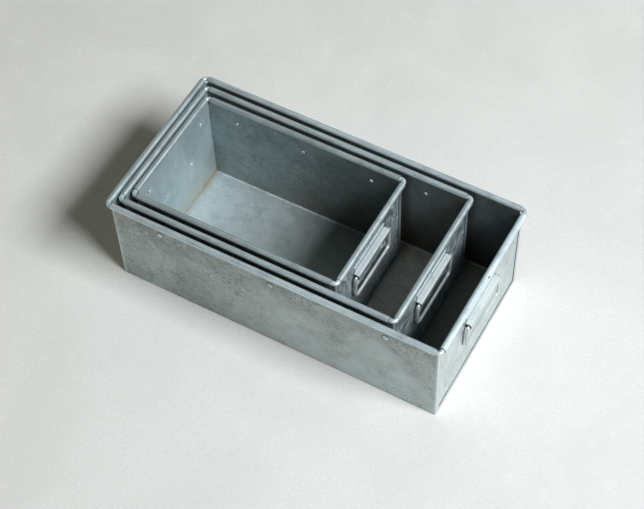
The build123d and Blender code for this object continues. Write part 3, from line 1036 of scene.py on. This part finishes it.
class BOXES_OT_make_rivets(bpy.types.Operator):
    """Model the rivets with their hammered heads and tails"""

    bl_idname = "boxes.make_rivets"
    bl_label = "Make rivets"

    def execute(self, context):
        look = Look(
            RIVET_DULL, RIVET_BLOOM, mottle=0.2, specks=0.4, rough=0.34, metal=0.4, warm=0.0,
            lines=DRAWN_LINES,
        )
        for case in CASES:
            material = plain_zinc(case, "rivet", look)
            self.replace(case, f"{case.name}_wall_rivets", WALL_RIVET, WALL_RIVET_HEAD, material)
            for end in ENDS:
                node = f"{case.name}_{end}_plate_rivets"
                self.replace(case, node, PLATE_RIVET, PLATE_RIVET_HEAD, material)
        return {"FINISHED"}

    def replace(self, case, node, outline, head, material):
        """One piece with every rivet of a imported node, each on its own axis."""
        group = bmesh.new()
        for spot, size in islands(node):
            across = min(range(3), key=lambda i: size[i])
            middle = Vector((case.middle, 0.0, 0.0))
            outward = Vector()
            outward[across] = math.copysign(1.0, spot[across] - middle[across])
            seat = spot + outward * (size[across] - head)
            self.add_rivet(group, outline, seat, outward)
        mesh = bpy.data.meshes.new(f"{node}_hammered")
        group.to_mesh(mesh)
        group.free()
        for face in mesh.polygons:
            face.use_smooth = True
        mesh.materials.append(material)
        piece = bpy.data.objects.new(f"{node}_hammered", mesh)
        bpy.context.scene.collection.objects.link(piece)
        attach(piece, f"{case.name}_box")
        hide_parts(node)

    def add_rivet(self, group, outline, seat, outward):
        """Spin one rivet's outline round Z, dent it, and stand it on its seat."""
        one = bmesh.new()
        points = [one.verts.new((far * MM, 0.0, high * MM)) for far, high in outline]
        edges = [one.edges.new(pair) for pair in zip(points, points[1:])]
        bmesh.ops.spin(
            one, geom=points + edges, axis=(0, 0, 1), cent=(0, 0, 0), dvec=(0, 0, 0),
            angle=math.tau, steps=RIVET_STEPS, use_merge=True, use_duplicate=False,
        )
        bmesh.ops.remove_doubles(one, verts=one.verts, dist=0.01 * MM)
        bmesh.ops.recalc_face_normals(one, faces=one.faces)
        # Spin adds its faces in another order each run, so they are put in one along a slant
        one.faces.sort(key=lambda face: face.calc_center_median().dot(FACE_ORDER))
        # The seat moves the noise, so no two rivets are alike
        for vert in one.verts:
            if vert.co.xy.length < DENT_REACH:
                vert.co.z += DENT_DEPTH * noise.noise((vert.co + seat * 40) * 420)
            vert.co.xy *= 1.0 + UNEVEN * noise.noise((vert.co + seat * 25) * 260)
        turn = outward.to_track_quat("Z", "Y").to_matrix().to_4x4()
        bmesh.ops.transform(one, matrix=Matrix.Translation(seat) @ turn, verts=one.verts)
        mesh = bpy.data.meshes.new("rivet")
        one.to_mesh(mesh)
        one.free()
        group.from_mesh(mesh)
        bpy.data.meshes.remove(mesh)


class BOXES_OT_set_stage(bpy.types.Operator):
    """Lay the floor and set the lights, world and camera"""

    bl_idname = "boxes.set_stage"
    bl_label = "Set stage"

    def execute(self, context):
        stage = context.scene.box_stage
        self.lay_floor(context, stage)
        self.light(context, stage)
        self.aim_camera(context, stage)
        return {"FINISHED"}

    def lay_floor(self, context, stage):
        shape = bmesh.new()
        bmesh.ops.create_circle(shape, cap_ends=True, radius=FLOOR_RADIUS, segments=64)
        bmesh.ops.translate(shape, verts=shape.verts, vec=(0, 0, -FLOOR_DROP))
        mesh = bpy.data.meshes.new("floor")
        shape.to_mesh(mesh)
        shape.free()
        floor = bpy.data.objects.new("floor", mesh)
        context.scene.collection.objects.link(floor)
        shader = Shader(bpy.data.materials.new("pale floor"))
        where = shader.place()
        clouds = shader.grain(where, FLOOR_CLOUDS)
        blotches = shader.grain(where, FLOOR_BLOTCHES)
        fine = shader.grain(where, FLOOR_FINE)
        pale = tuple(stage.floor_colour)
        worn_floor_or_lit_edge = tuple(0.8 * part for part in pale)
        chalk = tuple(1.07 * part for part in pale)
        colour = shader.blend(shader.rise(clouds, 0.35, 0.65) * 0.3, pale, worn_floor_or_lit_edge)
        colour = shader.blend(shader.rise(blotches, 0.55, 0.75) * 0.5, colour, chalk)
        colour = shader.blend(shader.rise(fine, 0.42, 0.64) * 0.4, colour, worn_floor_or_lit_edge)
        shader.surface(colour, 0.0, 0.8, fine, 0.1 * MM)
        mesh.materials.append(shader.owner)

    def add_lamp(self, context, name, power, size, turn, rise, distance):
        """Area light at that turn from +X and rise above the floor, aimed at the boxes."""
        panel = bpy.data.lights.new(name, "AREA")
        panel.shape = "RECTANGLE"
        panel.size, panel.size_y = size
        panel.energy = power
        lamp = bpy.data.objects.new(name, panel)
        flat = math.cos(rise)
        aim = Vector((flat * math.cos(turn), flat * math.sin(turn), math.sin(rise)))
        lamp.location = aim * distance
        lamp.rotation_euler = aim.to_track_quat("Z", "Y").to_euler()
        context.scene.collection.objects.link(lamp)
        return panel

    def light(self, context, stage):
        size = (stage.key_width, stage.key_height)
        place = (stage.key_turn, stage.key_rise, stage.key_distance)
        self.add_lamp(context, "key", stage.key_power, size, *place)
        size = (FILL_WIDTH, FILL_WIDTH)
        place = (FILL_TURN, FILL_RISE, FILL_DISTANCE)
        fill = self.add_lamp(context, "fill", stage.fill_power, size, *place)
        fill.color = FILL_COLOUR
        world = bpy.data.worlds.new("soft room")
        context.scene.world = world
        shader = Shader(world)
        direction = shader.node("TexCoord", output="Generated")
        height = shader.node("SeparateXYZ", {}, {"Vector": direction}, 2)
        upper = shader.rise(height, 0.05, 0.5)
        glow = shader.blend(upper, tuple(stage.horizon), tuple(stage.zenith))
        background = shader.node("Background", {}, {"Color": glow})
        shader.node("OutputWorld", {}, {"Surface": background})
        context.scene.view_settings.view_transform = "Standard"

    def aim_camera(self, context, stage):
        flat = math.cos(stage.elevation)
        east, south = flat * math.sin(stage.azimuth), -flat * math.cos(stage.azimuth)
        back = Vector((east, south, math.sin(stage.elevation)))
        right = Vector((0, 0, 1)).cross(back).normalized()
        upward = back.cross(right)
        turn = Matrix((right, upward, back)).transposed() @ Matrix.Rotation(stage.roll, 3, "Z")
        camera = bpy.data.cameras.new("camera")
        camera.lens = stage.lens
        camera.clip_start = 0.05
        viewer = bpy.data.objects.new("camera", camera)
        place = Vector(stage.target) + back * stage.distance
        viewer.matrix_world = Matrix.Translation(place) @ turn.to_4x4()
        context.scene.collection.objects.link(viewer)
        context.scene.camera = viewer


STEPS = (
    BOXES_OT_finish_sheets, BOXES_OT_finish_panels, BOXES_OT_finish_handles,
    BOXES_OT_finish_rims, BOXES_OT_make_rivets, BOXES_OT_set_stage,
)


class BOXES_PT_panel(bpy.types.Panel):
    """Lists the steps that dress the boxes"""

    bl_idname = "BOXES_PT_panel"
    bl_label = "Nested boxes"
    bl_space_type = "VIEW_3D"
    bl_region_type = "UI"
    bl_category = "Nested boxes"

    def draw(self, context):
        for step in STEPS:
            self.layout.operator(step.bl_idname)
        for settings in (context.scene.box_zinc, context.scene.box_stage):
            for name in settings.bl_rna.properties.keys():
                if name not in ("rna_type", "name"):
                    self.layout.prop(settings, name)


CLASSES = (ZincSettings, StageSettings, *STEPS, BOXES_PT_panel)


def register():
    for item in CLASSES:
        bpy.utils.register_class(item)
    bpy.types.Scene.box_zinc = bpy.props.PointerProperty(type=ZincSettings)
    bpy.types.Scene.box_stage = bpy.props.PointerProperty(type=StageSettings)


def unregister():
    del bpy.types.Scene.box_zinc
    del bpy.types.Scene.box_stage
    for item in reversed(CLASSES):
        bpy.utils.unregister_class(item)


def main():
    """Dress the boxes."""
    register()
    bpy.ops.boxes.finish_sheets()
    bpy.ops.boxes.finish_panels()
    bpy.ops.boxes.finish_handles()
    bpy.ops.boxes.finish_rims()
    bpy.ops.boxes.make_rivets()
    bpy.ops.boxes.set_stage()


if __name__ == "__main__":
    main()
